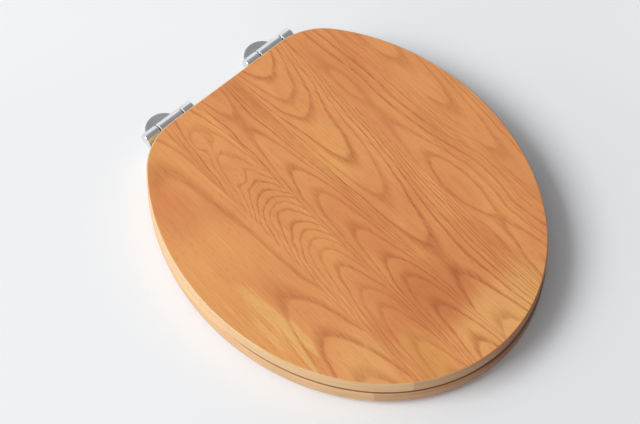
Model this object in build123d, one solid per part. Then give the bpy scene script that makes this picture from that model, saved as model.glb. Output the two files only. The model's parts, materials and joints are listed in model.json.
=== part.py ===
from build123d import *
import math
import os

# A wooden toilet seat: a flat lid over a ring, carried by two chrome hinges of three knuckles each.
# Frame: X across the seat, +Y towards the hinges, +Z up, millimetres.
# The origin lies midway between the two fixing holes, on the face that the seat stands on.

# Outline of lid and ring: two half ellipses that share the widest line, cut straight at the back.
SEAT_WIDTH = 370.0
SEAT_LENGTH = 410.5
WIDEST_FROM_BACK = 188.0
BACK_EDGE = 210.0
CORNER_RADIUS = 70.0

# Lid panel.
LID_THICKNESS = 19.0
LID_EDGE_ROUND = 1.6
LID_GAP = 2.0

# Seat ring and its opening, an egg of two half ellipses.
RING_THICKNESS = 20.0
RING_OVERHANG = 1.5
RING_EDGE_ROUND = 4.5
OPENING_WIDTH = 226.0
OPENING_LENGTH = 276.0
OPENING_FROM_FRONT = 66.0
OPENING_WIDEST = 128.0
OPENING_ROUND = 6.0

# Rubber buffers: a round button with a stem in the wood.
RING_BUFFER_HEIGHT = 6.0
RING_BUFFER_RADIUS = 11.0
RING_BUFFER_FROM_FRONT = 75.0
RING_BUFFER_FROM_BACK = 95.0
LID_BUFFER_RADIUS = 8.0
LID_BUFFER_FROM_FRONT = 95.0
LID_BUFFER_PLAY = 0.1
BUFFER_STEM_RADIUS = 3.0
BUFFER_STEM_LENGTH = 8.0
BUFFER_ROUND = 1.5

# Fixing to the pan: a disc with a tapped hub on a gasket, under each hinge.
FIXING_SPACING = 140.0
FIXING_HOLE_RADIUS = 3.4
DISC_RADIUS = 20.0
DISC_THICKNESS = 2.5
DISC_EDGE_ROUND = 0.8
BOSS_RADIUS = 8.0
BOSS_HEIGHT = 1.5
GASKET_THICKNESS = 1.0
GASKET_INSET = 1.0
HUB_RADIUS = 5.0
HUB_CLEARANCE = 0.2

# Hinge barrel, along X. The knuckles' lengths run from seam to seam.
BARREL_RADIUS = 7.6
RING_KNUCKLE = 19.0
BASE_KNUCKLE = 31.5
LID_KNUCKLE = 14.0
SEAM = 0.7
KNUCKLE_CHAMFER = 1.2
END_ROUND = 1.2
CHEEK = 3.0
CHEEK_ROUND = 1.5
GROOVE_WIDTH = 0.6
GROOVE_DEPTH = 0.5
AXIS_BEFORE_FIXING = 12.5
AXIS_BEHIND_LID = 9.8
AXIS_ABOVE_LID_FACE = 0.2

# Base post, which stands on the disc's front half and carries the middle knuckle.
POST_TOP_WIDTH = 26.0
POST_TOP_DEPTH = 10.0
POST_FOOT_WIDTH = 20.0
POST_FOOT_DEPTH = 11.0
POST_FOOT_BEHIND_AXIS = 1.0
POST_CORNER = 2.5
TENON_WIDTH = 12.0
TENON_DEPTH = 5.0

# Hinge pin, its bushes and the plug that closes its bore.
PIN_RADIUS = 3.0
PIN_CLEARANCE = 0.05
PIN_END_CHAMFER = 0.5
BUSH_RADIUS = 4.5
BUSH_FLANGE_RADIUS = 6.2
BUSH_FLANGE = 0.5
RING_BUSH_LENGTH = 12.0
LID_BUSH_LENGTH = 8.0
PLUG_RADIUS = 5.0
PLUG_LENGTH = 3.0
PLUG_ROUND = 0.4
SEAT_CLEARANCE = 0.02

# Web of the ring bracket, from the knuckle down the ring's back face.
WEB_THICKNESS = 3.5
WEB_CLEARANCE = 0.5
WEB_KNEE = 6.0
WEB_SHOULDER = 2.5

# Straps under ring and lid, with their screws.
STRAP_THICKNESS = 3.0
STRAP_LENGTH = 48.0
POCKET_CLEARANCE = 0.25
SCREW_FROM_BACK = (18.0, 36.0)
SCREW_LENGTH = 12.0
SCREW_SHANK_RADIUS = 1.9
SCREW_HEAD_RADIUS = 3.8
SCREW_TIP = 3.0
CROSS_LENGTH = 4.2
CROSS_WIDTH = 0.9
CROSS_DEPTH = 1.0

# Levels and lines that follow from the sizes above.
RING_BOTTOM = RING_BUFFER_HEIGHT
RING_TOP = RING_BOTTOM + RING_THICKNESS
LID_BOTTOM = RING_TOP + LID_GAP
LID_TOP = LID_BOTTOM + LID_THICKNESS
DISC_TOP = GASKET_THICKNESS + DISC_THICKNESS
AXIS_Y = -AXIS_BEFORE_FIXING
AXIS_Z = LID_BOTTOM + AXIS_ABOVE_LID_FACE
BACK_Y = AXIS_Y - AXIS_BEHIND_LID
WIDEST_Y = BACK_Y - WIDEST_FROM_BACK
FRONT_Y = BACK_Y - SEAT_LENGTH

# Along the barrel, from the disc's centre: the disc lies under the middle of the three knuckles' run.
BARREL_LENGTH = RING_KNUCKLE + BASE_KNUCKLE + LID_KNUCKLE
BARREL_START = -BARREL_LENGTH / 2
RING_SEAM = BARREL_START + RING_KNUCKLE
LID_SEAM = RING_SEAM + BASE_KNUCKLE
BARREL_END = BARREL_LENGTH / 2
BASE_CENTRE = (RING_SEAM + LID_SEAM) / 2
SEAT_X = BASE_CENTRE

OPENING_BACK_Y = FRONT_Y + OPENING_FROM_FRONT + OPENING_LENGTH
OPENING_WIDEST_Y = OPENING_BACK_Y - OPENING_WIDEST

HINGES = {"left": -FIXING_SPACING / 2, "right": FIXING_SPACING / 2}
SIDES = {"left": -1, "right": 1}


def rear_reach(overhang):
    """Half length of the rear ellipse, which passes the straight back edge at its ends."""
    return WIDEST_FROM_BACK / math.sqrt(1 - ((BACK_EDGE + 2 * overhang) / (SEAT_WIDTH + 2 * overhang)) ** 2)


def egg(width, front, rear, rear_kept):
    """Face of two half ellipses with a common width, widest on the X axis, kept to a distance at the rear."""
    ahead = Rectangle(2 * width, 2 * front, align=(Align.CENTER, Align.MAX))
    behind = Rectangle(2 * width, rear_kept, align=(Align.CENTER, Align.MIN))
    return (Ellipse(width / 2, front) & ahead) + (Ellipse(width / 2, rear) & behind)


def seat_blank(bottom, thickness, overhang=0.0):
    """Panel in the seat's outline, wider by an overhang at the sides and front, with round back corners."""
    front_reach = SEAT_LENGTH - WIDEST_FROM_BACK + overhang
    outline = egg(SEAT_WIDTH + 2 * overhang, front_reach, rear_reach(overhang), WIDEST_FROM_BACK)
    panel = extrude(Pos(SEAT_X, WIDEST_Y, bottom) * outline, thickness)
    corners = panel.edges().filter_by(Axis.Z).group_by(Axis.Y)[-1]
    return fillet(corners, CORNER_RADIUS)


def opening_shape(bottom, thickness):
    """The ring's opening as a solid."""
    shape = egg(OPENING_WIDTH, OPENING_LENGTH - OPENING_WIDEST, OPENING_WIDEST, 2 * OPENING_WIDEST)
    return extrude(Pos(SEAT_X, OPENING_WIDEST_Y, bottom) * shape, thickness)


def half_width(y, width, widest_y, front, rear):
    """Half width of an egg at a distance y, from the formula of its two ellipses."""
    reach = front if y < widest_y else rear
    return width / 2 * math.sqrt(max(0.0, 1 - ((y - widest_y) / reach) ** 2))


def opening_half(y):
    """Half width of the ring's opening at y."""
    return half_width(y, OPENING_WIDTH, OPENING_WIDEST_Y, OPENING_LENGTH - OPENING_WIDEST, OPENING_WIDEST)


def band_middle(y):
    """Distance from the seat's middle line to the middle of the ring's band, at y."""
    outer = half_width(y, SEAT_WIDTH, WIDEST_Y, SEAT_LENGTH - WIDEST_FROM_BACK, rear_reach(0.0))
    return (outer + opening_half(y)) / 2


def barrel(start, end, radius):
    """Cylinder on the hinge axis between two places along X."""
    return Pos((start + end) / 2, AXIS_Y, AXIS_Z) * Rot(0, 90, 0) * Cylinder(radius, end - start)


def rim(part, x):
    """Circular edges of a barrel piece at the place x."""
    circles = part.edges().filter_by(GeomType.CIRCLE)
    return circles.filter_by(lambda edge: abs(edge.center().X - x) < KNUCKLE_CHAMFER / 2)


def strap_plan(start, end, clearance, back_y=AXIS_Y):
    """Plan of a strap from its back end, under the barrel, to its round front end."""
    half = (end - start) / 2 + clearance
    middle = (start + end) / 2
    tip_y = BACK_Y - STRAP_LENGTH + half - clearance
    straight = back_y - tip_y
    body = Pos(middle, tip_y) * Rectangle(2 * half, straight, align=(Align.CENTER, Align.MIN))
    return body + Pos(middle, tip_y) * Circle(half)


def screw_places(start, end):
    """Screw positions along the middle of a strap."""
    return [((start + end) / 2, BACK_Y - distance) for distance in SCREW_FROM_BACK]


def screw_profile(clearance):
    """Half section of a countersunk screw, head down at z = 0, point up."""
    head = SCREW_HEAD_RADIUS + clearance
    shank = SCREW_SHANK_RADIUS + clearance
    length = SCREW_LENGTH + clearance
    points = [(0, 0), (head, 0), (shank, head - shank), (shank, length - SCREW_TIP), (0, length), (0, 0)]
    return Plane.XZ * make_face(Polyline(*points))


def screw_body(x, y, z, clearance=0.0):
    """Solid of revolution of the screw, standing on its head at a place."""
    return Pos(x, y, z) * revolve(screw_profile(clearance), Axis.Z)


def wood_screw(x, y, z):
    """Countersunk screw with a cross recess."""
    arm = Box(CROSS_LENGTH, CROSS_WIDTH, 2 * CROSS_DEPTH)
    cross = arm + Rot(0, 0, 90) * arm
    return screw_body(x, y, z) - Pos(x, y, z) * cross


def buffer(x, y, foot, seat, radius):
    """Rubber button between the levels foot and seat, with its stem above the seat."""
    height = seat - foot
    button = Pos(x, y, foot) * Cylinder(radius, height, align=(Align.CENTER, Align.CENTER, Align.MIN))
    button = fillet(button.edges().group_by(Axis.Z)[0], min(BUFFER_ROUND, height / 2))
    return button + buffer_stem(x, y, seat, 0.0)


def buffer_stem(x, y, seat, clearance):
    """Stem of a buffer, or its hole in the wood when it has a clearance."""
    size = (BUFFER_STEM_RADIUS + clearance, BUFFER_STEM_LENGTH + clearance)
    return Pos(x, y, seat) * Cylinder(*size, align=(Align.CENTER, Align.CENTER, Align.MIN))


def ring_buffer_places():
    """The four buffers under the ring, by name."""
    rows = {"front": FRONT_Y + RING_BUFFER_FROM_FRONT, "back": BACK_Y - RING_BUFFER_FROM_BACK}
    return {f"{row}_{side}": (SEAT_X + sign * band_middle(y), y)
            for row, y in rows.items() for side, sign in SIDES.items()}


def lid_buffer_places():
    """The two buffers under the lid, by name."""
    y = FRONT_Y + LID_BUFFER_FROM_FRONT
    return {f"front_{side}": (SEAT_X + sign * band_middle(y), y) for side, sign in SIDES.items()}


def ring_strap_span(hinge_x):
    """Ends of the ring bracket along X."""
    return hinge_x + BARREL_START, hinge_x + RING_SEAM - SEAM / 2


def lid_strap_span(hinge_x):
    """Ends of the lid bracket along X."""
    return hinge_x + LID_SEAM + SEAM / 2, hinge_x + BARREL_END


def drilled_panel(panel, underside, span_of, buffers):
    """Cut strap pockets, screw holes and buffer holes into a panel's underside."""
    for hinge_x in HINGES.values():
        span = span_of(hinge_x)
        panel -= extrude(Pos(0, 0, underside) * strap_plan(*span, POCKET_CLEARANCE), STRAP_THICKNESS)
        for x, y in screw_places(*span):
            panel -= screw_body(x, y, underside, SEAT_CLEARANCE)
    for x, y in buffers.values():
        panel -= buffer_stem(x, y, underside, SEAT_CLEARANCE)
    return panel


def lid_panel():
    """Flat lid with small rounds on its edges."""
    panel = seat_blank(LID_BOTTOM, LID_THICKNESS)
    levels = panel.edges().group_by(Axis.Z)
    panel = fillet(levels[0] + levels[-1], LID_EDGE_ROUND)
    return drilled_panel(panel, LID_BOTTOM, lid_strap_span, lid_buffer_places())


def seat_ring():
    """Ring with full rounds outside and round lips at the opening."""
    ring = seat_blank(RING_BOTTOM, RING_THICKNESS, RING_OVERHANG)
    levels = ring.edges().group_by(Axis.Z)
    ring = fillet(levels[0] + levels[-1], RING_EDGE_ROUND)
    ring -= opening_shape(RING_BOTTOM, RING_THICKNESS)
    ring = fillet(ring.edges().filter_by(on_lip), OPENING_ROUND)
    return drilled_panel(ring, RING_BOTTOM, ring_strap_span, ring_buffer_places())


def on_lip(edge):
    """True for the edges of the opening in the ring's two faces."""
    point = edge.position_at(0.5)
    level = min(abs(point.Z - RING_BOTTOM), abs(point.Z - RING_TOP)) < 0.01
    return level and abs(abs(point.X - SEAT_X) - opening_half(point.Y)) < 0.5


def ring_bracket(hinge_x):
    """Ring knuckle with a grooved cheek, and a strap that bends down the ring's back and under it."""
    start, end = ring_strap_span(hinge_x)
    groove = start + CHEEK
    knuckle = barrel(start, end, BARREL_RADIUS)
    knuckle = fillet(rim(knuckle, start), CHEEK_ROUND)
    knuckle = chamfer(rim(knuckle, end), KNUCKLE_CHAMFER)
    turned = barrel(groove, groove + GROOVE_WIDTH, 2 * BARREL_RADIUS)
    turned -= barrel(groove, groove + GROOVE_WIDTH, BARREL_RADIUS - GROOVE_DEPTH)
    web_start = start + KNUCKLE_CHAMFER
    web = extrude(Plane.YZ.offset(web_start) * web_section(), end - KNUCKLE_CHAMFER - web_start)
    strap_back = BACK_Y + WEB_CLEARANCE + WEB_THICKNESS
    strap = extrude(Pos(0, 0, RING_BOTTOM) * strap_plan(start, end, 0.0, strap_back), STRAP_THICKNESS)
    bracket = (knuckle - turned) + web + strap
    bracket -= barrel(end - RING_BUSH_LENGTH, end, BUSH_RADIUS + SEAT_CLEARANCE)
    bracket -= barrel(ring_pin_end(hinge_x) - PIN_CLEARANCE, end, PIN_RADIUS + PIN_CLEARANCE)
    for x, y in screw_places(start, end):
        bracket -= screw_body(x, y, RING_BOTTOM, SEAT_CLEARANCE)
    return bracket


def web_section():
    """Section of the ring bracket between its knuckle and its strap, close behind the ring's back face."""
    front = BACK_Y + WEB_CLEARANCE
    back = front + WEB_THICKNESS
    points = [(AXIS_Y, AXIS_Z),
              (AXIS_Y + 0.7 * BARREL_RADIUS, AXIS_Z - 0.3 * BARREL_RADIUS),
              (back, RING_BOTTOM + WEB_KNEE),
              (back, RING_BOTTOM),
              (front, RING_BOTTOM),
              (front, RING_TOP - WEB_SHOULDER),
              (AXIS_Y - 0.75 * BARREL_RADIUS, AXIS_Z),
              (AXIS_Y, AXIS_Z)]
    return make_face(Polyline(*points))


def lid_bracket(hinge_x):
    """Lid knuckle with a strap straight out under the lid."""
    start, end = lid_strap_span(hinge_x)
    knuckle = barrel(start, end, BARREL_RADIUS)
    knuckle = chamfer(rim(knuckle, start), KNUCKLE_CHAMFER)
    knuckle = fillet(rim(knuckle, end), END_ROUND)
    strap = extrude(Pos(0, 0, LID_BOTTOM) * strap_plan(start, end, 0.0), STRAP_THICKNESS)
    bracket = knuckle + strap
    bracket -= barrel(start, end, PIN_RADIUS + PIN_CLEARANCE)
    bracket -= barrel(start, start + LID_BUSH_LENGTH, BUSH_RADIUS + SEAT_CLEARANCE)
    bracket -= barrel(end - PLUG_LENGTH, end, PLUG_RADIUS + SEAT_CLEARANCE)
    for x, y in screw_places(start, end):
        bracket -= screw_body(x, y, LID_BOTTOM, SEAT_CLEARANCE)
    return bracket


def base_knuckle(hinge_x):
    """Middle knuckle on a tapered post, with a tenon through the disc."""
    start = hinge_x + RING_SEAM + SEAM / 2
    end = hinge_x + LID_SEAM - SEAM / 2
    knuckle = barrel(start, end, BARREL_RADIUS)
    knuckle = chamfer(rim(knuckle, start) + rim(knuckle, end), KNUCKLE_CHAMFER)
    foot_y = AXIS_Y + POST_FOOT_BEHIND_AXIS
    foot = Pos(hinge_x, foot_y, DISC_TOP) * RectangleRounded(POST_FOOT_WIDTH, POST_FOOT_DEPTH, POST_CORNER)
    top_plan = RectangleRounded(POST_TOP_WIDTH, POST_TOP_DEPTH, POST_CORNER)
    top = Pos(hinge_x + BASE_CENTRE, AXIS_Y, AXIS_Z) * top_plan
    post = loft([foot, top])
    tenon = Pos(hinge_x, foot_y, GASKET_THICKNESS) * Rectangle(TENON_WIDTH, TENON_DEPTH)
    base = knuckle + post + extrude(tenon, DISC_THICKNESS)
    return base - barrel(start, end, PIN_RADIUS + SEAT_CLEARANCE)


def base_disc(hinge_x):
    """Round disc with a tapped boss and hub at its centre and a slot for the post's tenon."""
    at_bottom = (Align.CENTER, Align.CENTER, Align.MIN)
    disc = Pos(hinge_x, 0, GASKET_THICKNESS) * Cylinder(DISC_RADIUS, DISC_THICKNESS, align=at_bottom)
    disc = fillet(disc.edges().group_by(Axis.Z)[-1], DISC_EDGE_ROUND)
    boss = Pos(hinge_x, 0, DISC_TOP) * Cylinder(BOSS_RADIUS, BOSS_HEIGHT, align=at_bottom)
    foot_y = AXIS_Y + POST_FOOT_BEHIND_AXIS
    foot_edge = foot_y + POST_FOOT_DEPTH / 2 + SEAT_CLEARANCE
    boss &= Pos(hinge_x, foot_edge, 0) * Box(4 * BOSS_RADIUS, 4 * BOSS_RADIUS, 4 * LID_TOP,
                                             align=(Align.CENTER, Align.MIN, Align.CENTER))
    hub = Pos(hinge_x, 0, 0) * Cylinder(HUB_RADIUS, GASKET_THICKNESS, align=at_bottom)
    hole = Pos(hinge_x, 0, 0) * Cylinder(FIXING_HOLE_RADIUS, 4 * LID_TOP)
    slot_size = (TENON_WIDTH + 2 * SEAT_CLEARANCE, TENON_DEPTH + 2 * SEAT_CLEARANCE)
    slot = Pos(hinge_x, foot_y, 0) * Box(*slot_size, 4 * LID_TOP)
    return disc + boss + hub - hole - slot


def base_gasket(hinge_x):
    """Thin pad between the disc and the pan."""
    at_bottom = (Align.CENTER, Align.CENTER, Align.MIN)
    pad = Pos(hinge_x, 0, 0) * Cylinder(DISC_RADIUS - GASKET_INSET, GASKET_THICKNESS, align=at_bottom)
    return pad - Pos(hinge_x, 0, 0) * Cylinder(HUB_RADIUS + HUB_CLEARANCE, 4 * GASKET_THICKNESS)


def ring_pin_end(hinge_x):
    """Where the pin stops inside the ring knuckle."""
    return hinge_x + RING_SEAM - SEAM / 2 - RING_BUSH_LENGTH


def hinge_pin(hinge_x):
    """Pin from the ring knuckle to the plug in the lid knuckle."""
    start = ring_pin_end(hinge_x)
    end = hinge_x + BARREL_END - PLUG_LENGTH - PIN_CLEARANCE
    pin = barrel(start, end, PIN_RADIUS)
    return chamfer(rim(pin, start) + rim(pin, end), PIN_END_CHAMFER)


def flanged_bush(start, end, flange_start, flange_end):
    """Bush in a knuckle with a thin flange in the seam."""
    bush = barrel(start, end, BUSH_RADIUS) + barrel(flange_start, flange_end, BUSH_FLANGE_RADIUS)
    low = min(start, flange_start)
    high = max(end, flange_end)
    return bush - barrel(low, high, PIN_RADIUS + PIN_CLEARANCE)


def ring_bush(hinge_x):
    """Bush of the ring knuckle."""
    face = hinge_x + RING_SEAM - SEAM / 2
    return flanged_bush(face - RING_BUSH_LENGTH, face, face, face + BUSH_FLANGE)


def lid_bush(hinge_x):
    """Bush of the lid knuckle."""
    face = hinge_x + LID_SEAM + SEAM / 2
    return flanged_bush(face, face + LID_BUSH_LENGTH, face - BUSH_FLANGE, face)


def end_plug(hinge_x):
    """Plug that closes the pin's bore, flush with the barrel's end."""
    end = hinge_x + BARREL_END
    plug = barrel(end - PLUG_LENGTH, end, PLUG_RADIUS)
    return fillet(rim(plug, end), PLUG_ROUND)


def strap_screws(underside, span_of):
    """All screws of one pair of straps, as separate solids."""
    screws = []
    for hinge_x in HINGES.values():
        screws += [wood_screw(x, y, underside).solid() for x, y in screw_places(*span_of(hinge_x))]
    return Compound(screws)


def build():
    """Every piece of the seat, by node name."""
    pieces = {"lid_panel": lid_panel(), "seat_ring": seat_ring()}
    makers = {"base_knuckle": base_knuckle, "base_disc": base_disc, "base_gasket": base_gasket,
              "ring_bracket": ring_bracket, "lid_bracket": lid_bracket, "hinge_pin": hinge_pin,
              "ring_bush": ring_bush, "lid_bush": lid_bush, "end_plug": end_plug}
    for side, hinge_x in HINGES.items():
        for name, maker in makers.items():
            pieces[f"{side}_{name}"] = maker(hinge_x)
    pieces["ring_strap_screws"] = strap_screws(RING_BOTTOM, ring_strap_span)
    pieces["lid_strap_screws"] = strap_screws(LID_BOTTOM, lid_strap_span)
    for name, (x, y) in ring_buffer_places().items():
        pieces[f"ring_buffer_{name}"] = buffer(x, y, 0.0, RING_BOTTOM, RING_BUFFER_RADIUS)
    for name, (x, y) in lid_buffer_places().items():
        foot = RING_TOP + LID_BUFFER_PLAY
        pieces[f"lid_buffer_{name}"] = buffer(x, y, foot, LID_BOTTOM, LID_BUFFER_RADIUS)
    return pieces


os.makedirs("parts", exist_ok=True)
for node, shape in build().items():
    export_step(shape, f"parts/{node}.step")
    print(node, round(shape.volume, 1))
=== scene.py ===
# %% [markdown]
# # A wooden toilet seat
# The seat lies closed on a pale table: a flat lid of glued staves over a ring, on two chrome hinges.
# Every solid comes from the imported CAD model, so this script gives it finishes, light and a camera.

# %% Load the fixed frame
import json
import math
from collections import namedtuple

import bmesh
import bpy
from mathutils import Euler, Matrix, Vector

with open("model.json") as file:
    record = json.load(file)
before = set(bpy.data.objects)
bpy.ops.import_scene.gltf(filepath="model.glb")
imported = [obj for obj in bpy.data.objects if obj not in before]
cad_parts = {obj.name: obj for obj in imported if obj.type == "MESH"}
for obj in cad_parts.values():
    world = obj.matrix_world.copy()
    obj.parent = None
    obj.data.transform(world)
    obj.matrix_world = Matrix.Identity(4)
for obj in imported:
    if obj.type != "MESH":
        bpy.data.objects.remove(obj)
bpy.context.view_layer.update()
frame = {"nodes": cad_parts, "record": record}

# %% [markdown]
# ## Sizes of the lid and the ring
# The grain is drawn in millimetres: across the lid from its middle line, and along it from its straight
# back edge. These places could be typed in, but here they are measured on the loaded solids,
# and so is the height of the gap between the lid and the ring. The figure then stays on the wood.

# %% Measure the lid and the ring
MM = 1000.0


def box_mm(name):
    """Lowest and highest corner of a solid, to a tenth of a millimetre."""
    places = [vertex.co * MM for vertex in frame["nodes"][name].data.vertices]
    low = [round(min(place[axis] for place in places), 1) for axis in range(3)]
    high = [round(max(place[axis] for place in places), 1) for axis in range(3)]
    return low, high


lid_low, lid_high = box_mm("lid_panel")
ring_high = box_mm("seat_ring")[1]
MIDDLE_X = (lid_low[0] + lid_high[0]) / 2
BACK_EDGE_Y = lid_high[1]
HALF_WIDTH = (lid_high[0] - lid_low[0]) / 2
LID_LENGTH = BACK_EDGE_Y - lid_low[1]
GAP_HEIGHT = (lid_low[2] + ring_high[2]) / 2
print("lid", 2 * HALF_WIDTH, "x", LID_LENGTH, "mm, gap at height", GAP_HEIGHT)

# %% [markdown]
# ## Camera
# The photographer stood in front of the seat, a little to its left, and looked steeply down.
# A long lens keeps the two ends of the oval nearly equal in width.
# The place and angles were fitted to the outline of the lid, so they are written as plain numbers.

# %% Camera
CAMERA_AZIMUTH = -42.08
CAMERA_ELEVATION = 61.50
CAMERA_PLACE = (-0.5471, -0.7790, 1.4694)
LENS_MM = 90.0
SENSOR_MM = 36.0
FAR_CLIP = 50.0

camera = bpy.data.objects.new("camera", bpy.data.cameras.new("camera"))
bpy.context.scene.collection.objects.link(camera)
camera.data.lens = LENS_MM
camera.data.sensor_width = SENSOR_MM
camera.data.clip_end = FAR_CLIP
camera.location = CAMERA_PLACE
tilt = math.radians(90 - CAMERA_ELEVATION)
turn = math.radians(CAMERA_AZIMUTH)
camera.rotation_euler = Euler((tilt, 0, turn), "XYZ")
bpy.context.scene.camera = camera
print("camera at", CAMERA_PLACE, "lens", LENS_MM)

# %% [markdown]
# ## Helpers for node trees
# A finish is a tree of small nodes. These helpers make one node each and join it up,
# so that a recipe reads from top to bottom like a sum.
# An argument may be a number or a colour, which is set on the socket,
# or another node's output, which is linked.

# %% Node helpers
def put(tree, socket, value):
    """Set a socket to a number or colour, or link it to another output."""
    if isinstance(value, bpy.types.NodeSocket):
        tree.links.new(value, socket)
    elif socket.type == "RGBA":
        socket.default_value = (*value, 1.0)
    else:
        socket.default_value = value


def add(tree, kind, inputs=None, **settings):
    """Make a node, set its properties and its inputs."""
    made = tree.nodes.new(kind)
    for name, value in settings.items():
        setattr(made, name, value)
    for name, value in (inputs or {}).items():
        put(tree, made.inputs[name], value)
    return made


def calc(tree, operation, *values, clamp=False):
    """One Math node."""
    made = add(tree, "ShaderNodeMath", operation=operation, use_clamp=clamp)
    for socket, value in zip(made.inputs, values):
        put(tree, socket, value)
    return made.outputs[0]


def chain(tree, operation, first, *others):
    """The same sum over a row of values, such as a product of four."""
    result = first
    for value in others:
        result = calc(tree, operation, result, value)
    return result


def centred(tree, value, reach):
    """Turn noise from 0 to 1 into a shift from -reach to reach."""
    return calc(tree, "MULTIPLY_ADD", value, 2 * reach, -reach)


def ease(tree, value, low, high, to_low=0.0, to_high=1.0):
    """Fade from one value to another between two limits."""
    made = add(tree, "ShaderNodeMapRange", interpolation_type="SMOOTHSTEP")
    for name, number in (("Value", value), ("From Min", low), ("From Max", high),
                         ("To Min", to_low), ("To Max", to_high)):
        put(tree, made.inputs[name], number)
    return made.outputs["Result"]


def noise(tree, vector, scale=1.0, detail=2.0):
    """Noise value around 0.5."""
    made = add(tree, "ShaderNodeTexNoise", {"Vector": vector, "Scale": scale, "Detail": detail})
    return made.outputs["Fac"]


print("sums, fades and noise ready")

# %% [markdown]
# ## Helpers for colours, groups and materials
# An effect that several finishes share is a node group, with inputs for what differs between them.
# A group can be made in the editor by hand. Here a helper makes it empty, a recipe fills it once,
# and another helper places it. Values that are the same all over a surface go straight onto the shader.

# %% Colour, group and material helpers
def point(tree, x, y, z):
    """Vector from three values."""
    return add(tree, "ShaderNodeCombineXYZ", {"X": x, "Y": y, "Z": z}).outputs[0]


def blend(tree, amount, first, second, mode="MIX"):
    """Mix two colours."""
    made = add(tree, "ShaderNodeMix", data_type="RGBA", blend_type=mode)
    put(tree, made.inputs[0], amount)
    put(tree, made.inputs[6], first)
    put(tree, made.inputs[7], second)
    return made.outputs[2]


def ramp(tree, value, stops):
    """Colour ramp from (position, colour) stops."""
    made = add(tree, "ShaderNodeValToRGB", {"Fac": value})
    points = made.color_ramp.elements
    while len(points) < len(stops):
        points.new(0.5)
    for element, (position, colour) in zip(points, stops):
        element.position = position
        element.color = (*colour, 1.0)
    return made.outputs["Color"]


def new_group(name, inputs, outputs):
    """Empty shader group with float inputs and outputs."""
    tree = bpy.data.node_groups.new(name, "ShaderNodeTree")
    for title, start in inputs:
        socket = tree.interface.new_socket(title, in_out="INPUT", socket_type="NodeSocketFloat")
        socket.default_value = start
    for title in outputs:
        tree.interface.new_socket(title, in_out="OUTPUT", socket_type="NodeSocketFloat")
    return tree, tree.nodes.new("NodeGroupInput").outputs, tree.nodes.new("NodeGroupOutput").inputs


def use(tree, group, inputs):
    """Place a node group and give it its inputs."""
    return add(tree, "ShaderNodeGroup", inputs, node_tree=group).outputs


def new_material(name, **constants):
    """Material with a Principled shader whose constant values are set on its own sockets."""
    material = bpy.data.materials.new(name)
    material.use_nodes = True
    tree = material.node_tree
    shader = tree.nodes["Principled BSDF"]
    for title, value in constants.items():
        shader.inputs[title.replace("_", " ")].default_value = value
    return material, tree, shader


def bump(tree, shader, height, distance):
    """Feed a height into the shader's normal."""
    made = add(tree, "ShaderNodeBump", {"Height": height, "Distance": distance, "Strength": 1.0})
    put(tree, shader.inputs["Normal"], made.outputs["Normal"])


print("colours, groups and materials ready")

# %% [markdown]
# ## Growth rings on a stave
# A stave is a plank sawn from a tree, so its lines are growth rings cut by its face.
# Where the saw ran nearly along a ring, the lines close into arches, and towards the sides of the
# stave they run straight. So the ring count at a place is taken as the square of its distance from
# the middle of the arches, less a level that changes along the stave.
# There is a line wherever the count passes a whole number.

# %% Ring count group
rings_group, rings_in, rings_out = new_group(
    "ring count",
    [("Across", 0.0), ("Along", 0.0), ("Centre", 0.0), ("Drift", 0.0), ("Left", 300.0), ("Right", 300.0),
     ("Bend", 0.0), ("Power", 1.0), ("Level", 0.0)],
    ["Count", "Spread"])


def build_rings(tree, given, result):
    """Ring count from a place in millimetres and the numbers of a stave."""
    middle = calc(tree, "MULTIPLY_ADD", given["Drift"], given["Along"], given["Centre"])
    aside = calc(tree, "SUBTRACT", given["Across"], middle)
    to_right = calc(tree, "GREATER_THAN", aside, 0.0)
    wider = calc(tree, "SUBTRACT", given["Right"], given["Left"])
    width = calc(tree, "MULTIPLY_ADD", to_right, wider, given["Left"])
    spread = calc(tree, "DIVIDE", calc(tree, "MULTIPLY", aside, aside), width)
    grown = calc(tree, "POWER", calc(tree, "MULTIPLY_ADD", given["Bend"], spread, 1.0), given["Power"])
    count = calc(tree, "SUBTRACT", calc(tree, "MULTIPLY", spread, grown), given["Level"])
    put(tree, result["Count"], count)
    put(tree, result["Spread"], spread)


build_rings(rings_group, rings_in, rings_out)
print("ring count nodes:", len(rings_group.nodes))

# %% [markdown]
# ## Soft spots
# Wood changes from place to place: a field that the sun has faded, a patch of curled fibres by a knot.
# A soft spot is a mask that is 1 at one place and fades to 0 at the rim of an ellipse.
# The same group places the fields of colour on the lid, the curl in one stave and the dust in the gap.

# %% Soft spot group
spot_group, spot_in, spot_out = new_group(
    "soft spot",
    [("Across", 0.0), ("Along", 0.0), ("X", 0.0), ("Y", 0.0), ("Width", 20.0), ("Length", 40.0)],
    ["Mask", "Square"])


def build_spot(tree, given, result):
    """Mask that fades from 1 at a place to 0 at the rim of an ellipse."""
    x = calc(tree, "DIVIDE", calc(tree, "SUBTRACT", given["Across"], given["X"]), given["Width"])
    y = calc(tree, "DIVIDE", calc(tree, "SUBTRACT", given["Along"], given["Y"]), given["Length"])
    square = calc(tree, "ADD", calc(tree, "MULTIPLY", x, x), calc(tree, "MULTIPLY", y, y))
    put(tree, result["Mask"], ease(tree, square, 0.0, 1.0, 1.0, 0.0))
    put(tree, result["Square"], square)


build_spot(spot_group, spot_in, spot_out)
print("soft spot nodes:", len(spot_group.nodes))

# %% [markdown]
# ## The staves
# Six staves are glued side by side. Each has its own arches, so each gets a row of numbers:
# where it begins, where the middle of its arches runs, how wide they open to either side,
# and the level at places along it. The rows follow the figure that shows in the lid of the photo.
# A picture of wood would give one figure only, but rows like these can be changed to draw another.

# %% Staves
Stave = namedtuple("Stave", "edge centre drift left right bend power tone seed ink stops")

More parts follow.
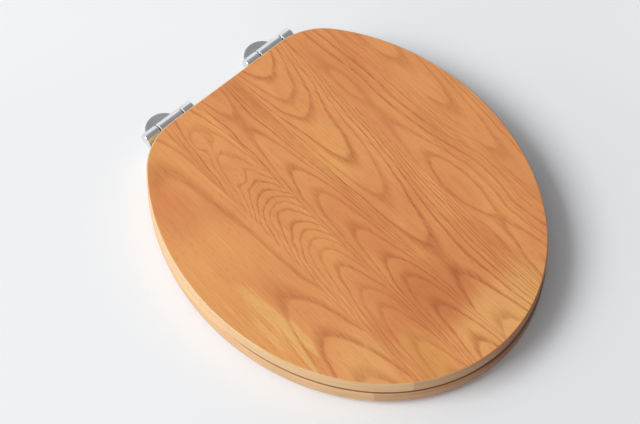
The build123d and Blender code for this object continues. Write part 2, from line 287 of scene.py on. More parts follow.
# Places are in millimetres. Left and right are square millimetres for each ring,
# so a larger number means wider arches.
# A pair for the left changes from the first to the second half way down the stave.
# Each stop is a distance along the stave and the level there.
STAVES = [
    Stave(-190, -122, 0.00, (6000, 480), 820, 0.00, 1.0, 0.50, 0.14, 0.90,
          [(-40, -1.2), (-25, -1), (42, 0), (60, 0.13), (110, 0.37), (145, 0.58), (175, 0.65), (205, 0.74),
           (232, 1), (260, 1.5), (288, 2), (345, 3), (410, 4)]),
    Stave(-88, -62, 0.018, 230, 200, 0.00, 1.0, 0.52, 0.23, 0.80,
          [(-40, -3.6), (10, -2.4), (45, -1.5), (75, -0.8), (99, 0), (114, 1), (127, 2), (139, 3), (147, 4),
           (157, 5), (176, 6), (190, 7), (203, 8), (218, 9), (243, 10), (277, 11), (303, 12), (350, 13),
           (405, 14)]),
    Stave(-40, -23, 0.022, 250, 250, 0.25, 1.0, 0.58, 0.37, 1.00,
          [(-40, 1.6), (10, 0.6), (40, 0), (52, -0.12), (64, 0), (128, 1), (165, 2), (220, 3), (267, 4),
           (295, 5), (338, 6), (390, 7), (430, 8)]),
    Stave(8, 39, -0.045, 360, 520, 0.12, 1.0, 0.46, 0.53, 0.90,
          [(-20, 7.6), (27, 6), (62, 5), (90, 4), (157, 3), (213, 2), (284, 1), (305, 0.85), (326, 1),
           (390, 2), (430, 3)]),
    Stave(79, 91, 0.020, 155, 155, 0.67, -0.5, 0.54, 0.71, 0.72,
          [(-20, -0.6), (40, -0.2), (58, 0), (72, 0.18), (88, 0.24), (105, 0.14), (122, 0), (134, -0.05),
           (147, 0), (160, 0.1), (185, 0.46), (210, 1), (225, 1.41), (250, 1.75), (270, 1.7), (290, 1.3),
           (305, 1), (309, 0.97), (313, 1), (330, 1.15), (350, 1.5), (390, 2.1)]),
    Stave(145, 156, -0.008, 340, 340, 0.20, 1.0, 0.56, 0.89, 0.60,
          [(-20, 4.5), (30, 4), (103, 3), (182, 2), (253, 1), (320, 0.4), (400, 0)]),
]
print("staves:", len(STAVES))

# %% [markdown]
# ## Reading a stave's row
# The levels are read from a smooth curve, so an arch can close, open again or make an eye.
# At each place only one stave counts, and it is found by which joints lie to the left.
# Noise that is stretched along the grain gives every stave its own waves, dashes and fibres.

# %% Stave helpers
CURVE_FROM, CURVE_SPAN = -60.0, 520.0
LEVEL_FROM, LEVEL_SPAN = -5.0, 25.0
SEED_STEP = 37.0


def level_curve(tree, along, stops):
    """Level along a stave, read from a smooth curve through its stops."""
    share = calc(tree, "MULTIPLY_ADD", along, 1 / CURVE_SPAN, -CURVE_FROM / CURVE_SPAN)
    made = add(tree, "ShaderNodeFloatCurve", {"Value": share})
    points = made.mapping.curves[0].points
    while len(points) < len(stops):
        points.new(0.5, 0.5)
    for place, (distance, level) in zip(points, stops):
        place.location = ((distance - CURVE_FROM) / CURVE_SPAN, (level - LEVEL_FROM) / LEVEL_SPAN)
        place.handle_type = "AUTO_CLAMPED"
    made.mapping.update()
    return calc(tree, "MULTIPLY_ADD", made.outputs["Value"], LEVEL_SPAN, LEVEL_FROM)


def choose(tree, test, first, second):
    """The first value where the test is 0 and the second where it is 1."""
    made = add(tree, "ShaderNodeMix", data_type="FLOAT")
    put(tree, made.inputs[0], test)
    put(tree, made.inputs[2], first)
    put(tree, made.inputs[3], second)
    return made.outputs[0]


def of_stave(tree, past, values):
    """The value of the stave at this place, out of one value for each stave."""
    result = values[0]
    for beyond, value in zip(past, values[1:]):
        result = choose(tree, beyond, result, value)
    return result


def stretched(tree, across, along, seed, grain, detail=2.0):
    """Noise with grains of a width and length in millimetres, different on each stave."""
    width, length = grain
    place = point(tree, calc(tree, "DIVIDE", across, width), calc(tree, "DIVIDE", along, length),
                  calc(tree, "MULTIPLY", seed, SEED_STEP))
    return noise(tree, place, detail=detail)


print("curve from", CURVE_FROM, "to", CURVE_FROM + CURVE_SPAN, "mm")

# %% [markdown]
# ## Waves in the grain
# A tree doesn't grow straight, so the place at which the rings are counted is first pushed about:
# by a slow sway, a shorter wave and a small ripple. In the second stave the grain curls, as it does
# beside a knot, so there a swirl pushes the place much farther, inside a soft spot.

# %% Bent places
# A grain is the width and length of one wave, and a reach is how far it pushes, all in millimetres.
SWAY_GRAIN, SWAY_REACH = (48.0, 95.0), 3.5
WAVE_GRAIN, WAVE_ACROSS, WAVE_ALONG = (11.0, 26.0), 0.8, 3.5
RIPPLE_GRAIN, RIPPLE_REACH = (4.0, 9.0), 1.2
CURL_SPOT = {"X": -62.0, "Y": 62.0, "Width": 30.0, "Length": 62.0}
SWIRL_GRAIN, SWIRL_ACROSS, SWIRL_ALONG = (17.0, 34.0), 11.0, 34.0


def bend_place(tree, across, along, seed):
    """A place pushed about by the waves and the curl."""
    sway = stretched(tree, across, along, seed, SWAY_GRAIN)
    wave = stretched(tree, across, along, seed, WAVE_GRAIN)
    ripple = stretched(tree, across, along, seed, RIPPLE_GRAIN)
    bent_across = chain(tree, "ADD", across, centred(tree, sway, SWAY_REACH),
                        centred(tree, wave, WAVE_ACROSS))
    bent_along = chain(tree, "ADD", along, centred(tree, wave, WAVE_ALONG),
                       centred(tree, ripple, RIPPLE_REACH))
    curl = use(tree, spot_group, {"Across": across, "Along": along, **CURL_SPOT})["Mask"]
    swirl = centred(tree, stretched(tree, across, along, seed, SWIRL_GRAIN, detail=0.0), 1.0)
    curled = calc(tree, "MULTIPLY", curl, swirl)
    bent_across = calc(tree, "MULTIPLY_ADD", curled, SWIRL_ACROSS, bent_across)
    bent_along = calc(tree, "MULTIPLY_ADD", curled, SWIRL_ALONG, bent_along)
    return bent_across, bent_along


print("curl at", CURL_SPOT["X"], CURL_SPOT["Y"])

# %% [markdown]
# ## Counting the rings
# Each stave's row goes into its own copy of the ring count group, and the stave at a place is chosen
# afterwards. The spread says how far a place lies from the middle of the arches, counted in rings.
# It is small on the arches and large on the flanks, where the lines run straight.

# %% Ring count of the panel
LEFT_CHANGE = (150.0, 235.0)


def count_rings(tree, past, along, bent_across, bent_along):
    """Ring count and spread of the stave at each place."""
    counts, spreads = [], []
    for stave in STAVES:
        left = stave.left
        if isinstance(left, tuple):
            left = ease(tree, along, *LEFT_CHANGE, float(left[0]), float(left[1]))
        level = level_curve(tree, bent_along, stave.stops)
        rings = use(tree, rings_group, {
            "Across": bent_across, "Along": bent_along, "Centre": float(stave.centre), "Drift": stave.drift,
            "Left": left, "Right": float(stave.right), "Bend": stave.bend, "Power": stave.power,
            "Level": level})
        counts.append(rings["Count"])
        spreads.append(rings["Spread"])
    return of_stave(tree, past, counts), of_stave(tree, past, spreads)


print("the first stave's arches change from", LEFT_CHANGE[0], "to", LEFT_CHANGE[1], "mm")

# %% [markdown]
# ## From rings to lines
# In ring-porous wood, a year begins with a row of open pores. So a line is sharp where the year begins and
# fades away from there. A plain sine would be soft on both sides, so the part of a ring that has passed is
# used instead. Some years are weaker, flank lines are finer, and faint lines lie between the strong ones.
# In the sapwood at the left there are next to none.

# %% Line recipe
# Four numbers are a fade: where it starts and ends, and its values there. Two numbers run from 0 to 1.
TAIL_WIDTH, TAIL_SHRINK, TAIL_LIMIT = 0.40, -0.025, 4.0
SHARP_SIDE = (0.87, 1.0)
YEAR_SHIFT, YEAR_STEP, YEAR_SEED, YEAR_LAYER = 0.045, 5.3, 19.0, 0.5
YEAR_INK = (0.3, 0.62, 0.6, 1.0)
ARCH_INK = (0.2, 2.0, 0.80, 0.94)
FLANK_INK = (3.5, 9.0, 1.0, 0.40)
FAINT_LINES, FAINT_SHIFT, FAINT_TAIL = 3.0, 0.37, (0.0, 0.34, 1.0, 0.0)
FAINT_GRAIN, FAINT_PATCHES, FAINT_INK = (9.0, 60.0), (0.40, 0.60), (0.3, 2.0, 0.10, 0.60)
SAPWOOD_SIDE = (-152.0, -130.0, 0.06, 1.0)
SAPWOOD_END = (242.0, 270.0, 0.06, 1.0)
OUTER_SAPWOOD = (-166.0, -142.0, 0.12, 1.0)


def draw_lines(tree, across, along, seed, ink, count, spread):
    """Strength of the growth lines."""
    part = calc(tree, "FRACT", count)
    width = calc(tree, "MULTIPLY_ADD", calc(tree, "MINIMUM", spread, TAIL_LIMIT), TAIL_SHRINK, TAIL_WIDTH)
    tail = ease(tree, part, 0.0, width, 1.0, 0.0)
    line = calc(tree, "MAXIMUM", tail, ease(tree, part, *SHARP_SIDE))
    year = calc(tree, "MULTIPLY", calc(tree, "FLOOR", calc(tree, "ADD", count, YEAR_SHIFT)), YEAR_STEP)
    year_place = point(tree, year, calc(tree, "MULTIPLY", seed, YEAR_SEED), YEAR_LAYER)
    year_noise = noise(tree, year_place, detail=0.0)
    line = chain(tree, "MULTIPLY", line, ease(tree, year_noise, *YEAR_INK), ink,
                 ease(tree, spread, *ARCH_INK), ease(tree, spread, *FLANK_INK))
    third = calc(tree, "FRACT", calc(tree, "MULTIPLY_ADD", count, FAINT_LINES, FAINT_SHIFT))
    patchy = ease(tree, stretched(tree, across, along, seed, FAINT_GRAIN), *FAINT_PATCHES)
    faint = chain(tree, "MULTIPLY", ease(tree, third, *FAINT_TAIL), patchy, ease(tree, spread, *FAINT_INK))
    heartwood = calc(tree, "MAXIMUM", ease(tree, across, *SAPWOOD_SIDE), ease(tree, along, *SAPWOOD_END))
    return chain(tree, "MULTIPLY", calc(tree, "MAXIMUM", line, faint), heartwood,
                 ease(tree, across, *OUTER_SAPWOOD))


print("faint lines in each ring:", FAINT_LINES)

# %% [markdown]
# ## The glued panel
# The recipes come together in one group for the whole panel, which the lid and the ring both use.
# Close up, a line is a row of short dashes along the grain, because the pores are cut lengthwise.
# The group also gives loose pores, fine fibres, the tone of each stave and the hairline of the glue joints.

# %% Glued panel group
DASH_GRAIN, DASH_BREAK = (1.0, 11.0), (0.34, 0.60)
DASH_ON_SPREAD = (0.4, 2.5, 0.48, 0.40)
LOOSE_PORES = (0.62, 0.74)
FIBRE_GRAIN, FIBRE_ON_SPREAD = (1.2, 60.0), (0.1, 2.2, 0.40, 1.0)
CLOUD_GRAIN = (46.0, 90.0)
UNEVEN_GRAIN = (10.0, 70.0)
GLUE_LINE = (0.15, 0.45, 1.0, 0.0)
panel_group, panel_in, panel_out = new_group("glued panel", [("Across", 0.0), ("Along", 0.0)],
                                             ["Line", "Pore", "Fibre", "Tone", "Cloud", "Uneven", "Joint"])


def build_panel(tree, given, result):
    """Lines, pores and fibres of the whole panel."""
    across, along = given["Across"], given["Along"]
    joints = [float(stave.edge) for stave in STAVES[1:]]
    past = [calc(tree, "GREATER_THAN", across, joint) for joint in joints]
    seed = of_stave(tree, past, [stave.seed for stave in STAVES])
    ink = of_stave(tree, past, [stave.ink for stave in STAVES])
    bent_across, bent_along = bend_place(tree, across, along, seed)
    count, spread = count_rings(tree, past, along, bent_across, bent_along)
    line = draw_lines(tree, across, along, seed, ink, count, spread)
    dash = stretched(tree, bent_across, along, seed, DASH_GRAIN, detail=1.0)
    broken = ease(tree, dash, *DASH_BREAK, ease(tree, spread, *DASH_ON_SPREAD), 1.0)
    put(tree, result["Line"], calc(tree, "MULTIPLY", line, broken))
    put(tree, result["Pore"], ease(tree, dash, *LOOSE_PORES))
    fibre = calc(tree, "SUBTRACT", stretched(tree, bent_across, along, seed, FIBRE_GRAIN, detail=3.0), 0.5)
    fibre = calc(tree, "MULTIPLY_ADD", fibre, ease(tree, spread, *FIBRE_ON_SPREAD), 0.5)
    put(tree, result["Fibre"], fibre)
    put(tree, result["Tone"], of_stave(tree, past, [stave.tone for stave in STAVES]))
    put(tree, result["Cloud"], stretched(tree, across, along, seed, CLOUD_GRAIN))
    put(tree, result["Uneven"], stretched(tree, across, along, seed, UNEVEN_GRAIN))
    gaps = [calc(tree, "ABSOLUTE", calc(tree, "SUBTRACT", across, joint)) for joint in joints]
    put(tree, result["Joint"], ease(tree, chain(tree, "MINIMUM", *gaps), *GLUE_LINE))


build_panel(panel_group, panel_in, panel_out)
print("glued panel nodes:", len(panel_group.nodes))

# %% [markdown]
# ## The veneered edge
# The sides of a panel show end grain, so a thin band of veneer is glued round them. Its fibres run round
# the seat, which gives fine streaks, and its two ends meet in a butt joint at the front. Beyond the joint
# the band is browner, and painted shade darkens it further towards the right, and a little all round the
# ring.
# The rounded upper edges are paler, most at the back and the right: worn lacquer and a painted highlight.
# Faces, rounds and sides are told apart by how far they look upwards.

# %% Veneered edge group
STREAK_LENGTH, STREAK_HEIGHT = 45.0, 2.2
STREAK_BROWN = (0.25, 0.75, 0.0, 0.24)
BAND_FRONT = (120.0, 260.0)
# Beyond the joint the band grows browner towards the right: browner veneer and painted shade.
BAND_AGE_AND_PAINTED_SHADE = (-110.0, 40.0, 0.28, 0.76)
# Paler rims at the back and the right: wear and a painted highlight.
RUBBED_AND_HIGHLIT_BACK = (120.0, 240.0, 0.50, 0.15)
RUBBED_AND_HIGHLIT_RIGHT = (60.0, 150.0, 0.15, 0.60)
ROUND_BEGINS = (0.25, 0.60)
ROUND_ENDS = (0.95, 0.995)
FLAT_FACE = (0.975, 0.9995)
# The Shade input darkens the band as painted shade: the ring gives it a little, the lid none.
edge_group, edge_in, edge_out = new_group(
    "veneered edge",
    [("Across", 0.0), ("Along", 0.0), ("Height", 0.0), ("Upright", 0.0), ("Butt Joint", 0.0),
     ("Shade", 0.0)],
    ["Brown", "Rubbed And Highlit", "Face"])


def build_edge(tree, given, result):
    """How brown the band is, with painted shade, where it is rubbed pale or painted with a highlight, and
    where the flat faces lie.
    """
    across, along, upright = given["Across"], given["Along"], given["Upright"]
    x = calc(tree, "DIVIDE", across, STREAK_LENGTH)
    y = calc(tree, "DIVIDE", along, STREAK_LENGTH)
    z = calc(tree, "DIVIDE", given["Height"], STREAK_HEIGHT)
    streak = noise(tree, point(tree, x, y, z), detail=3.0)
    beyond = calc(tree, "GREATER_THAN", across, given["Butt Joint"])
    # Beyond the butt joint the veneer is browner, and painted shade darkens it further towards the right.
    aged_and_painted_shade = chain(tree, "MULTIPLY", beyond, ease(tree, along, *BAND_FRONT), ease(tree, across, *BAND_AGE_AND_PAINTED_SHADE))
    put(tree, result["Brown"], chain(tree, "ADD", ease(tree, streak, *STREAK_BROWN), given["Shade"], aged_and_painted_shade))
    # Worn lacquer on the rounded upper edges, with a painted highlight most at the back and the right.
    worn_and_highlit = calc(tree, "MAXIMUM", ease(tree, along, *RUBBED_AND_HIGHLIT_BACK), ease(tree, across, *RUBBED_AND_HIGHLIT_RIGHT))
    rubbed_and_highlit = calc(tree, "MULTIPLY", ease(tree, upright, *ROUND_BEGINS),
                  ease(tree, upright, *ROUND_ENDS, worn_and_highlit, 0.0))
    put(tree, result["Rubbed And Highlit"], rubbed_and_highlit)
    put(tree, result["Face"], ease(tree, calc(tree, "ABSOLUTE", upright), *FLAT_FACE))


build_edge(edge_group, edge_in, edge_out)
print("veneered edge nodes:", len(edge_group.nodes))

# %% [markdown]
# ## Painted shade in the gap
# A gap of two millimetres runs between the lid and the ring. Its shade is painted into the wood as a dark
# colour, which draws a thin line round the front. The mask is a belt that lies just inside the
# outline, found with a soft spot as large as the seat, and near the height of the gap. It is wider and
# darker at the right, and it fades out at the back of the left side, where the photo shows no line.

# %% Gap shade group
WIDEST_ALONG = 188.0
BELT_BEGINS = (0.955, 0.985)
BELT_ENDS = (-50.0, 50.0, 0.998, 1.02)
GAP_SHADE_LEVEL = (-50.0, 50.0, GAP_HEIGHT - 0.5, GAP_HEIGHT - 1.4)
GAP_SHADE_DEPTH = (-50.0, 60.0, 1.5, 3.6)
GAP_SHADE_FADE = 0.4
GAP_SHADE_FRONT = (196.0, 250.0)
GAP_SHADE_RIGHT = (-150.0, -100.0)
GAP_SHADE_INK = (-40.0, 70.0, 0.78, 1.0)
gap_shade_group, gap_shade_in, gap_shade_out = new_group(
    "gap painted shade", [("Across", 0.0), ("Along", 0.0), ("Height", 0.0), ("Amount", 1.0)], ["Dust"])


def build_gap_shade(tree, given, result):
    """Belt of painted shade between the lid and the ring."""
    across, along = given["Across"], given["Along"]
    reach = use(tree, spot_group, {"Across": across, "Along": along, "X": 0.0, "Y": WIDEST_ALONG,
                                   "Width": HALF_WIDTH, "Length": LID_LENGTH - WIDEST_ALONG})["Square"]
    within = calc(tree, "LESS_THAN", reach, ease(tree, across, *BELT_ENDS))
    above = calc(tree, "SUBTRACT", given["Height"], ease(tree, across, *GAP_SHADE_LEVEL))
    depth = ease(tree, across, *GAP_SHADE_DEPTH)
    inside = ease(tree, calc(tree, "ABSOLUTE", above), depth, calc(tree, "ADD", depth, GAP_SHADE_FADE), 1.0, 0.0)
    begun = calc(tree, "MAXIMUM", ease(tree, along, *GAP_SHADE_FRONT), ease(tree, across, *GAP_SHADE_RIGHT))
    gap_shade = chain(tree, "MULTIPLY", ease(tree, reach, *BELT_BEGINS), within, inside, begun,
                 ease(tree, across, *GAP_SHADE_INK), given["Amount"])
    put(tree, result["Dust"], gap_shade)


build_gap_shade(gap_shade_group, gap_shade_in, gap_shade_out)
print("gap painted shade nodes:", len(gap_shade_group.nodes))

# %% [markdown]
# ## Colours of the wood
# Wood is never one colour: the tree, the stain and years of light leave redder and yellower fields.
# Noise alone would put them anywhere, so the broad ones on the lid are soft spots at set places.
# One narrow field is the pale streak beside the sapwood at the left.

# %% Wood colours
TAN = (0.806, 0.333, 0.118)
AMBER = (0.830, 0.390, 0.128)
RUSSET = (0.690, 0.235, 0.085)
PALE = (0.865, 0.460, 0.160)
OCHRE = (0.745, 0.360, 0.100)
EMBER = (0.590, 0.180, 0.062)
GRAIN_BROWN = (0.400, 0.098, 0.030)
# Colour of the pale rims: worn lacquer and a painted highlight.
RUBBED_AND_HIGHLIT_WOOD = (0.800, 0.560, 0.340)
# Colour of the painted shade in the gap between the lid and the ring.
GAP_PAINTED_SHADE = (0.190, 0.075, 0.028)
BAND_PALE = (0.755, 0.480, 0.230)
# The band's brown also carries painted shade on the right and on the ring.
BAND_BROWN = (0.295, 0.082, 0.014)

# Place across and along, half width, half length, colour, strength, and softness of the rim.
LID_SPOTS = [
    (-172, 250, 36, 140, AMBER, 0.70, 0.35), (-147, 262, 13, 80, PALE, 0.95, 0.6),
    (-118, 225, 30, 60, RUSSET, 0.22, 1.0), (-140, 85, 32, 50, RUSSET, 0.50, 1.0),
    (-135, 22, 45, 30, OCHRE, 0.35, 1.0), (-14, 328, 52, 54, EMBER, 0.70, 1.0),
    (58, 325, 28, 62, RUSSET, 0.45, 1.0), (-2, 220, 34, 75, RUSSET, 0.45, 1.0),
    (-62, 370, 26, 42, OCHRE, 0.60, 0.6), (34, 388, 80, 44, PALE, 0.65, 1.0),
    (24, 125, 34, 72, AMBER, 0.60, 1.0), (-48, 182, 24, 82, AMBER, 0.55, 1.0),
    (-15, 278, 26, 44, RUSSET, 0.40, 1.0), (-108, 332, 30, 50, PALE, 0.50, 1.0),
    (148, 195, 40, 90, AMBER, 0.30, 1.0),
]
print("fields of colour on the lid:", len(LID_SPOTS))

# %% [markdown]
# ## The ground under the grain
# Under the lines lies the ground colour: slow clouds of noise, the tone of each stave, and the fields.
# The rims of the fields are pushed about along the grain, as colour in wood follows its fibres.
# Last, the fibres make it a little lighter and darker.

# %% Ground of the wood
CLOUD_REACH = 0.55
TONE_RAMP = [(0.15, AMBER), (0.5, TAN), (0.95, RUSSET)]
RIM_REACH = 18.0
FIBRE_LIGHT = (0.3, 0.7, 0.90, 1.09)


def wood_ground(tree, across, along, grain, spots):
    """Colour of the wood without its lines."""
    warm = calc(tree, "ADD", centred(tree, grain["Cloud"], CLOUD_REACH), grain["Tone"])
    ground = ramp(tree, warm, TONE_RAMP)
    astray = calc(tree, "ADD", across, centred(tree, grain["Uneven"], RIM_REACH))
    for x, y, width, length, colour, strength, soft in spots:
        spot = use(tree, spot_group, {"Across": astray, "Along": along, "X": float(x), "Y": float(y),
                                      "Width": float(width), "Length": float(length)})
        field = calc(tree, "DIVIDE", spot["Mask"], soft, clamp=True)
        ground = blend(tree, calc(tree, "MULTIPLY", field, strength), ground, colour)
    fibre = ease(tree, grain["Fibre"], *FIBRE_LIGHT)
    return blend(tree, 1.0, ground, point(tree, fibre, fibre, fibre), "MULTIPLY")


print("ground colours:", len(TONE_RAMP))

# %% [markdown]
# ## Lacquered wood
# The finish is laid up as on the real seat: ground and grain on the faces, veneer on the sides,
# and a thin clear lacquer with a soft gloss over all, with painted shade in the gap. The lines are open
# pores, so they also go into a shallow bump. The ring is cut from the same panel, turned end for end.

# %% Wood finish
MARK_INKS = {"Line": 0.88, "Pore": 0.26, "Joint": 0.30}
GAP_SHADE_AMOUNT = 0.95
PORE_DEPTH = 0.00006
LID_BUTT_JOINT, RING_BUTT_JOINT = -90.3, -120.0
# The ring's band is darkened by this much as painted shade, because it gets less light than the lid.
RING_PAINTED_SHADE = 0.12
RING_TURNED_AT = 410.0


def make_wood(name, flip, offset, spots, butt_joint, band_painted_shade):
    """Wood of the glued panel, turned end for end if flip is -1, with spots, a veneered edge and painted
    shade in the gap.
    """
    material, tree, shader = new_material(name, Roughness=0.36, Specular_IOR_Level=0.22, Coat_Weight=0.12,
                                          Coat_Roughness=0.16)
    coords = add(tree, "ShaderNodeTexCoord").outputs
    place = add(tree, "ShaderNodeSeparateXYZ", {"Vector": coords["Object"]}).outputs
    across = calc(tree, "MULTIPLY_ADD", place["X"], MM, -MIDDLE_X)
    along = calc(tree, "MULTIPLY_ADD", place["Y"], -MM, BACK_EDGE_Y)
    height = calc(tree, "MULTIPLY", place["Z"], MM)
    upright = add(tree, "ShaderNodeSeparateXYZ", {"Vector": coords["Normal"]}).outputs["Z"]
    here = {"Across": across, "Along": along, "Height": height}
    grain = use(tree, panel_group, {"Across": calc(tree, "MULTIPLY", across, flip),
                                    "Along": calc(tree, "MULTIPLY_ADD", along, flip, offset)})
    inks = [calc(tree, "MULTIPLY", grain[title], ink) for title, ink in MARK_INKS.items()]
    mark = chain(tree, "MAXIMUM", *inks)
    face = blend(tree, mark, wood_ground(tree, across, along, grain, spots), GRAIN_BROWN)
    band = use(tree, edge_group, {**here, "Upright": upright, "Butt Joint": butt_joint,
                                  "Shade": band_painted_shade})
    # The band's brown carries painted shade; its pale rims are wear and a painted highlight.
    edge = blend(tree, band["Brown"], BAND_PALE, BAND_BROWN)
    edge = blend(tree, band["Rubbed And Highlit"], edge, RUBBED_AND_HIGHLIT_WOOD)
    wood = blend(tree, band["Face"], edge, face)
    # Painted shade darkens the wood in the gap between the lid and the ring.
    gap_shade = use(tree, gap_shade_group, {**here, "Amount": GAP_SHADE_AMOUNT})["Dust"]
    put(tree, shader.inputs["Base Color"], blend(tree, gap_shade, wood, GAP_PAINTED_SHADE))
    bump(tree, shader, calc(tree, "MULTIPLY", mark, -1.0), PORE_DEPTH)
    return material


lid_wood = make_wood("lid wood", 1.0, 0.0, LID_SPOTS, LID_BUTT_JOINT, 0.0)
ring_wood = make_wood("ring wood", -1.0, RING_TURNED_AT, [], RING_BUTT_JOINT, RING_PAINTED_SHADE)
print("wood finishes:", lid_wood.name, ring_wood.name)

# %% [markdown]
# ## Fine marks
# Metal that has been polished, ground or turned keeps fine scratches in the way that it was worked,
# and a slight cloudiness from handling. One group gives both, and each metal sets the size of its scratches
# and how far they are stretched.

# %% Fine marks group
MARK_CLOUD_SCALE = 90.0
marks_group, marks_in, marks_out = new_group("fine marks", [("Size", 1.0), ("Stretch", 8.0)],
                                             ["Marks", "Cloud"])


def build_marks(tree, given, result):
    """Short scratches along X and slow clouds, from object places in millimetres."""
    coords = add(tree, "ShaderNodeTexCoord").outputs["Object"]
    place = add(tree, "ShaderNodeSeparateXYZ", {"Vector": coords}).outputs
    scale = calc(tree, "DIVIDE", MM, given["Size"])
    x = calc(tree, "DIVIDE", calc(tree, "MULTIPLY", place["X"], scale), given["Stretch"])
    y = calc(tree, "MULTIPLY", place["Y"], scale)
    z = calc(tree, "MULTIPLY", place["Z"], scale)
    put(tree, result["Marks"], noise(tree, point(tree, x, y, z), detail=3.0))
    put(tree, result["Cloud"], noise(tree, coords, scale=MARK_CLOUD_SCALE))


build_marks(marks_group, marks_in, marks_out)
print("fine marks nodes:", len(marks_group.nodes))

# %% [markdown]
# ## Chrome and steel
# The hinges are polished chrome, which only shows what it reflects, so its marks are faint.
# The discs are satin steel, turned flat, the pins are ground and the screws are zinc plated.
# A metal has no colour under its gloss, so only its reflection is tinted, and the marks vary its roughness.

# %% Metals
CLOUD_TINT = (0.35, 0.65)
MARK_RANGE = (0.3, 0.7)


def make_metal(name, pale, dark, smooth, rough, size, stretch, relief):
    """Metal whose colour and gloss vary with the fine marks."""
    material, tree, shader = new_material(name, Metallic=1.0)
    marks = use(tree, marks_group, {"Size": size, "Stretch": stretch})
    put(tree, shader.inputs["Base Color"], blend(tree, ease(tree, marks["Cloud"], *CLOUD_TINT), pale, dark))
    put(tree, shader.inputs["Roughness"], ease(tree, marks["Marks"], *MARK_RANGE, smooth, rough))
    bump(tree, shader, marks["Marks"], relief)
    return material


chrome = make_metal("polished chrome", pale=(0.80, 0.805, 0.815), dark=(0.75, 0.755, 0.765),
                    smooth=0.05, rough=0.10, size=0.6, stretch=10.0, relief=0.000002)
disc_steel = make_metal("satin steel", pale=(0.475, 0.48, 0.485), dark=(0.425, 0.43, 0.435),
                        smooth=0.38, rough=0.50, size=0.35, stretch=14.0, relief=0.00001)
pin_steel = make_metal("ground steel", pale=(0.56, 0.57, 0.58), dark=(0.50, 0.51, 0.52),
                       smooth=0.22, rough=0.34, size=0.3, stretch=1.0, relief=0.000008)
screw_steel = make_metal("zinc plate", pale=(0.62, 0.61, 0.57), dark=(0.52, 0.52, 0.50),
                         smooth=0.24, rough=0.38, size=0.5, stretch=2.0, relief=0.00001)
print("metals:", chrome.name, disc_steel.name, pin_steel.name, screw_steel.name)

# %% [markdown]
# ## Nylon and rubber
# The bushes are nylon, and the gaskets and buffers are rubber. All are pressed in moulds whose walls are a
# little rough, so they share one group: a fine pebbled grain and slow changes of shade.

# %% Moulded finishes
MOULD_CLOUD_SCALE = 140.0
SKIN_RANGE = (0.3, 0.7)
GLOSS_CHANGE = 0.08
PEBBLE_DEPTH = 0.00003
moulded_group, moulded_in, moulded_out = new_group("moulded grain", [("Grain", 0.5)], ["Cloud", "Pebble"])


def build_moulded(tree, given, result):
    """Slow clouds and a pebbled grain whose size is given in millimetres."""
    coords = add(tree, "ShaderNodeTexCoord").outputs["Object"]
    put(tree, result["Cloud"], noise(tree, coords, scale=MOULD_CLOUD_SCALE, detail=3.0))
    put(tree, result["Pebble"], noise(tree, coords, scale=calc(tree, "DIVIDE", MM, given["Grain"])))


def make_moulded(name, pale, dark, rough, grain_mm):
    """Moulded nylon or rubber: a fine even grain and slow changes of shade."""
    material, tree, shader = new_material(name)
    skin = use(tree, moulded_group, {"Grain": grain_mm})
    put(tree, shader.inputs["Base Color"], blend(tree, ease(tree, skin["Cloud"], *SKIN_RANGE), pale, dark))
    gloss = ease(tree, skin["Pebble"], *SKIN_RANGE, rough - GLOSS_CHANGE, rough + GLOSS_CHANGE)
    put(tree, shader.inputs["Roughness"], gloss)
    bump(tree, shader, skin["Pebble"], PEBBLE_DEPTH)
    return material


build_moulded(moulded_group, moulded_in, moulded_out)
nylon = make_moulded("black nylon", pale=(0.030, 0.030, 0.032), dark=(0.018, 0.018, 0.020),
                     rough=0.55, grain_mm=0.5)
gasket_rubber = make_moulded("gasket rubber", pale=(0.72, 0.72, 0.70), dark=(0.62, 0.62, 0.60),
                             rough=0.72, grain_mm=0.6)
buffer_rubber = make_moulded("buffer rubber", pale=(0.78, 0.76, 0.70), dark=(0.68, 0.66, 0.60),
                             rough=0.66, grain_mm=0.7)
print("moulded:", nylon.name, gasket_rubber.name, buffer_rubber.name)

# %% [markdown]
# ## Giving each solid its finish
# The record names a material slot for every solid, and each slot stands for one finish here.
# The lid and the ring share a slot in the record, but each has its own cut of wood.

# %% Assign finishes
FINISHES = {"wood": lid_wood, "chrome": chrome, "satin_steel": disc_steel, "pin_steel": pin_steel,
            "screw_steel": screw_steel, "nylon": nylon, "gasket_rubber": gasket_rubber,
            "buffer_rubber": buffer_rubber}
for part in frame["record"]["subparts"]:
    solid = frame["nodes"][part["node"]]
    finish = ring_wood if part["node"] == "seat_ring" else FINISHES[part["material_slot"]]
    solid.data.materials.clear()
    solid.data.materials.append(finish)

# %% [markdown]
# ## The table
# The table is a plain pale sheet, a grid of one face, far larger than the view.
# Slow noise between two nearly equal whites keeps the sheet from being one flat colour.

# %% Table sheet and its colour
SHEET_HALF = 20.0
SHEET_HEIGHT = -0.0004
SHEET_PALE = (0.870, 0.897, 0.925)
SHEET_PALER = (0.878, 0.902, 0.925)
SHEET_CLOUD_SCALE = 3.0

table = bpy.data.objects.new("table", bpy.data.meshes.new("table"))
bpy.context.scene.collection.objects.link(table)
sheet = bmesh.new()
bmesh.ops.create_grid(sheet, x_segments=1, y_segments=1, size=SHEET_HALF)
bmesh.ops.translate(sheet, verts=sheet.verts, vec=(0.0, 0.0, SHEET_HEIGHT))
sheet.to_mesh(table.data)
sheet.free()
table_finish, table_tree, table_shader = new_material("pale table", Roughness=0.6)
on_table = add(table_tree, "ShaderNodeTexCoord").outputs["Object"]
cloud = noise(table_tree, on_table, scale=SHEET_CLOUD_SCALE)
put(table_tree, table_shader.inputs["Base Color"], blend(table_tree, cloud, SHEET_PALE, SHEET_PALER))
table.data.materials.append(table_finish)
print("table laid:", 2 * SHEET_HALF, "m wide")

